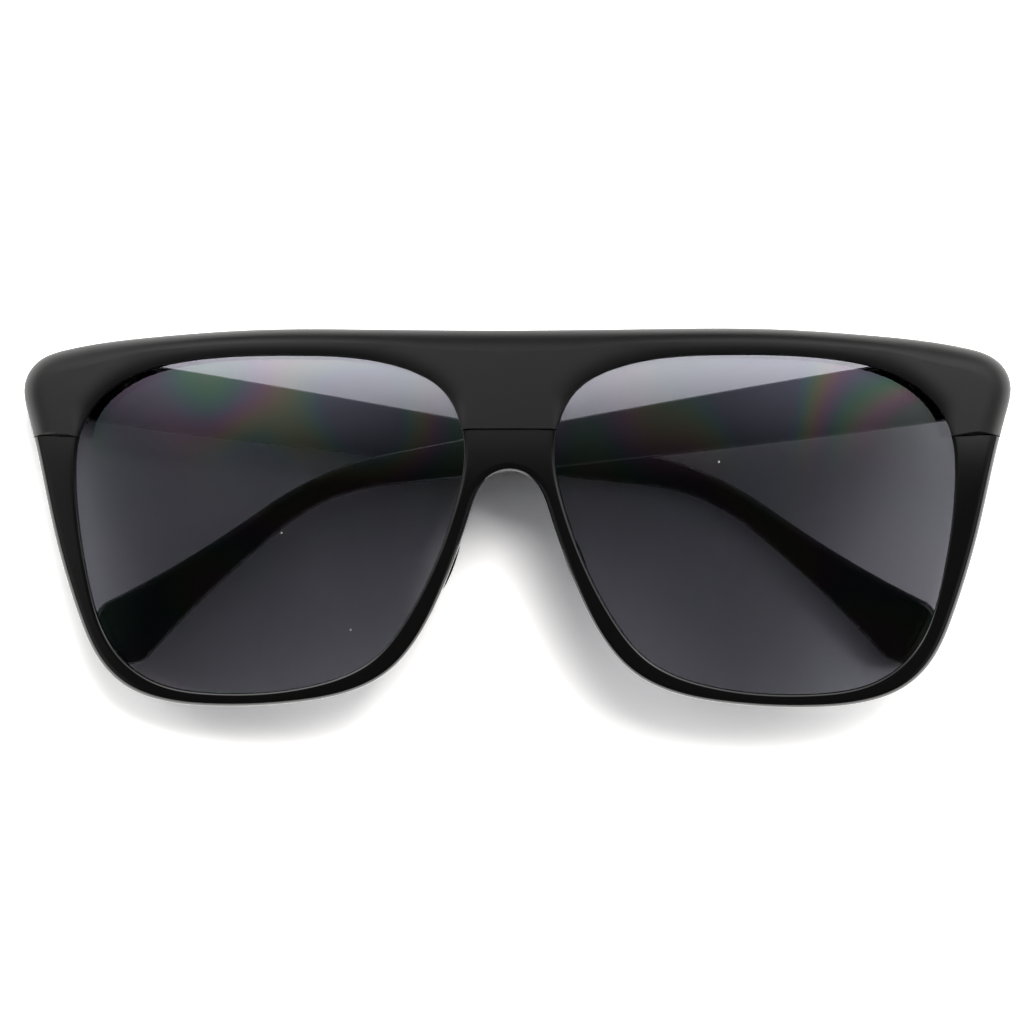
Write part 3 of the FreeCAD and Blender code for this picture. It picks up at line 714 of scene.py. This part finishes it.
def temple_column(run, edge, tip_angle=None):
    """One section of the arm, from its middle line out over the inner face, down the edge and back
    under the outer face. edge is 1 on the upper side and -1 on the lower. Round the tip, tip_angle
    goes from 1 to -1. The butt, behind the start of the run, is square to the front."""
    middle, ahead = centreline(run)
    upward = Vector((-ahead.y, ahead.x))
    if run < 0:
        upward = Vector((0.0, math.cos(DROP)))
    if tip_angle is None:
        out = upward * edge
        rim_point = middle + out * half_height(run)
    else:
        tip, _ = centreline(PATH_LENGTH)
        reach = half_height(run)
        bow = (reach ** 2 + TIP_ROUND ** 2) / (2 * TIP_ROUND)
        start = math.asin(reach / bow)
        swing = start * tip_angle
        hub = tip - ahead * bow
        out = ahead * math.cos(swing) + upward * math.sin(swing)
        rim_point = hub + out * bow
        middle = centreline(PATH_LENGTH - TIP_ROUND)[0]
    slope = (TEMPLE_THICKNESS - TIP_THICKNESS) / (SHAFT_LENGTH + EAR_LENGTH - TAPER_START)

    def top(spot):
        return TEMPLE_THICKNESS - slope * max(spot.x - TAPER_START, 0.0)

    kerb = rim_point - out * TEMPLE_ROUND
    inner = [middle.lerp(kerb, step / FLANK_STEPS) for step in range(FLANK_STEPS)]
    rounding = [(rim_point - out * inset, drop) for inset, drop in turn(TEMPLE_ROUND)]
    points = [Vector((*spot, top(spot))) for spot in inner]
    points += [Vector((*spot, top(spot) - drop)) for spot, drop in rounding]
    points += [Vector((*spot, drop)) for spot, drop in reversed(rounding)]
    points += [Vector((*spot, 0.0)) for spot in reversed(inner)]
    return points


def temple_columns():
    """The arm's sections, from the butt along its upper edge, round the tip and back below."""
    last = PATH_LENGTH - TIP_ROUND
    runs = [last * step / TEMPLE_STEPS for step in range(1, TEMPLE_STEPS + 1)]
    butt = (BUTT_CLEARANCE - BUTT_HEIGHT) / math.cos(DROP)
    upper = [temple_column(run, 1) for run in [butt] + runs]
    tip = [temple_column(last, 1, 1 - 2 * step / TIP_STEPS) for step in range(1, TIP_STEPS)]
    lower = [temple_column(run, -1) for run in [butt] + runs]
    return upper + tip + lower[::-1]


def temple_stance(side):
    """On its pin and folded in behind the front, the left arm tilted to lie over the right."""
    pin = Matrix.Translation((side * PIN_X, PIN_LEVEL, 0.0))
    tilt = Matrix.Rotation(-ROLL if side < 0 else LEFT_TILT, 4, "Y")
    drop = Matrix.Translation((0.0, 0.0, -PIN_TO_OUTER))
    return FRONT_STANCE @ pin @ tilt @ drop


for word, side in SIDES.items():
    sections = [[Vector((-side * spot.x, spot.y, spot.z)) for spot in column]
                for column in temple_columns()]
    arm_sheet, arm_ends = wrap(sections, closed_rows=False)
    bmesh.ops.remove_doubles(arm_sheet, verts=arm_sheet.verts, dist=ARM_MERGE)
    close_end(arm_sheet, arm_ends[0] + arm_ends[1])
    finish(arm_sheet, "arm_" + word, temple_stance(side), word + "_temple", ["temple_" + word],
           gloss)


# Nose pads.
# Moulded in one with the rim, behind its nose side: a long low blade on each side that leans with
# the nose, with a rounded crest where it rests on the skin.

PAD_OFFSET = 2.8
PAD_DROP = 6.5
PAD_LEAN = math.radians(20.0)
PAD_LENGTH = 12.0
PAD_WIDTH = 2.7
PAD_DEPTH = 6.0
PAD_ROOT = 0.3
CREST_SHORTER = 0.45
CREST_POWER = 3
PAD_ROWS = 18
PAD_COLUMNS = 48


def pad_column(angle, side):
    """A line up one side of the pad, from its root in the rim to the top of its crest."""
    middle = Vector((side * (HALF_BRIDGE + PAD_OFFSET), -PAD_DROP))
    down = Vector((side * math.sin(PAD_LEAN), -math.cos(PAD_LEAN)))
    out = Vector((side * math.cos(PAD_LEAN), math.sin(PAD_LEAN)))
    points = [on_face(*middle, RIM_THICKNESS - PAD_ROOT)]
    for row in range(PAD_ROWS + 1):
        share = math.sin(math.radians(90 * row / PAD_ROWS))
        crest = math.sqrt(max(1 - share ** CREST_POWER, 0.0))
        length = PAD_LENGTH * (1 - CREST_SHORTER + CREST_SHORTER * crest)
        spot = middle + down * (length / 2 * math.cos(angle))
        spot += out * (PAD_WIDTH / 2 * crest * math.sin(angle))
        points.append(on_face(*spot, RIM_THICKNESS - PAD_ROOT + (PAD_DEPTH + PAD_ROOT) * share))
    return points


for word, side in SIDES.items():
    turns = [2 * math.pi * step / PAD_COLUMNS for step in range(PAD_COLUMNS + 1)]
    pad_sheet, _ = wrap([pad_column(angle, side) for angle in turns], closed_rows=False)
    finish(pad_sheet, "nose_blade_" + word, FRONT_STANCE, "front", ["nose_pad_" + word],
           gloss)


# Hinges.
# Three-knuckle leaves stamped from brass and plated dark, let into the end pieces and the arms,
# each held by two small screws. A slotted screw through the knuckles is the pin the arm turns on.

HINGE_BEVEL = 0.09
LEAF_PROUD = 0.03
METAL_MERGE = 0.001
FLAT_ANGLE = math.radians(1.0)
CORNER_ANGLE = math.radians(40.0)
TUMBLE_MARK = 0.4
LATHE_RING = 0.1047
LATHE_DEPTH = 0.02

# Stamped and tumbled brass with a gunmetal plating: a dark warm grey metal, polished by tumbling,
# with fine scratches that run every way.
plated = new_material("gunmetal_plated_brass")
place = add_node(plated, "ShaderNodeTexCoord")
tumbled = add_node(plated, "ShaderNodeTexNoise", {"Vector": place.outputs["Object"],
                   "Scale": 1 / (TUMBLE_MARK * MM), "Detail": 3.0})
plated_rough = add_node(plated, "ShaderNodeMapRange", {"Value": tumbled.outputs["Fac"],
                        "From Min": 0.3, "From Max": 0.7, "To Min": 0.22, "To Max": 0.38})
plated_tone = add_node(plated, "ShaderNodeMix", {0: tumbled.outputs["Fac"], 6: linear("4C4A48"),
                       7: linear("66635F")}, data_type="RGBA")
plating = add_node(plated, "ShaderNodeBsdfPrincipled", {"Base Color": plated_tone.outputs[2],
                   "Metallic": 1.0, "Roughness": plated_rough.outputs[0]})
add_node(plated, "ShaderNodeOutputMaterial", {"Surface": plating.outputs[0]})

# Turned stainless steel: a brighter, cooler metal with fine rings from the lathe that read as an
# even grain at this size. A ring every 0.1 mm is as coarse as it needs to be to show. The pattern
# has one every tenth of pi.
turned = new_material("turned_stainless_steel")
place = add_node(turned, "ShaderNodeTexCoord")
lathe = add_node(turned, "ShaderNodeTexWave", {"Vector": place.outputs["Object"],
                 "Scale": math.pi / 10 / (LATHE_RING * MM), "Distortion": 1.5}, bands_direction="Y")
turned_bump = add_node(turned, "ShaderNodeBump", {"Height": lathe.outputs["Fac"], "Strength": 0.1,
                       "Distance": LATHE_DEPTH * MM})
steel = add_node(turned, "ShaderNodeBsdfPrincipled", {"Base Color": linear("8B8B8A"),
                 "Metallic": 1.0, "Roughness": 0.28, "Normal": turned_bump.outputs[0]})
add_node(turned, "ShaderNodeOutputMaterial", {"Surface": steel.outputs[0]})


def metal_piece(name, node, body, material, lift):
    """A merged copy of a hinge part, with the tumbled edges that stamped and turned parts have."""
    metal = bmesh.new()
    metal.from_mesh(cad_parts[node].data)
    bmesh.ops.remove_doubles(metal, verts=metal.verts, dist=METAL_MERGE * MM)
    bmesh.ops.dissolve_limit(metal, angle_limit=FLAT_ANGLE, verts=metal.verts, edges=metal.edges)
    corners = [edge for edge in metal.edges
               if len(edge.link_faces) == 2 and edge.calc_face_angle() > CORNER_ANGLE]
    bmesh.ops.bevel(metal, geom=corners, offset=HINGE_BEVEL * MM, affect="EDGES", segments=2,
                    profile=0.5, material=-1, clamp_overlap=True)
    finish(metal, name, Matrix.Translation(lift), body, [node], material, crease=50)


for word, side in SIDES.items():
    arm = word + "_temple"
    proud = Vector((0, 0, LEAF_PROUD * MM))
    rear = FRONT_STANCE.to_3x3().normalized() @ -proud
    inward = temple_stance(side).to_3x3().normalized() @ proud
    flush = Vector()
    for name, node, body, slot, material, lift in (
            ("end_leaf_", "front_hinge_leaf_", "front", "hinge_metal", plated, rear),
            ("arm_leaf_", "temple_hinge_leaf_", arm, "hinge_metal", plated, inward),
            ("pin_screw_", "hinge_screw_", "front", "screw_metal", turned, flush),
            ("end_screws_", "front_leaf_screws_", "front", "screw_metal", turned, flush),
            ("arm_screws_", "temple_leaf_screws_", arm, "screw_metal", turned, flush)):
        metal_piece(name + word, node + word, body, material, lift)


# Wire cores.
# A flat drawn steel wire is shot into each arm while the plastic is warm, from the hinge end to the
# bend, and is quite hidden in it.

STREAK = 1.111

# Cold drawn steel wire: a light grey metal, its shine broken by the streaks of the die.
drawn = new_material("drawn_steel_wire")
place = add_node(drawn, "ShaderNodeTexCoord")
streak = add_node(drawn, "ShaderNodeTexNoise", {"Vector": place.outputs["Object"],
                  "Scale": 1 / (STREAK * MM)})
drawn_rough = add_node(drawn, "ShaderNodeMapRange", {"Value": streak.outputs["Fac"], "To Min": 0.25,
                       "To Max": 0.45})
wire = add_node(drawn, "ShaderNodeBsdfPrincipled", {"Base Color": linear("9A9A98"), "Metallic": 1.0,
                "Roughness": drawn_rough.outputs[0]})
add_node(drawn, "ShaderNodeOutputMaterial", {"Surface": wire.outputs[0]})
for word in SIDES:
    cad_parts["temple_core_" + word].material_slots[0].material = drawn
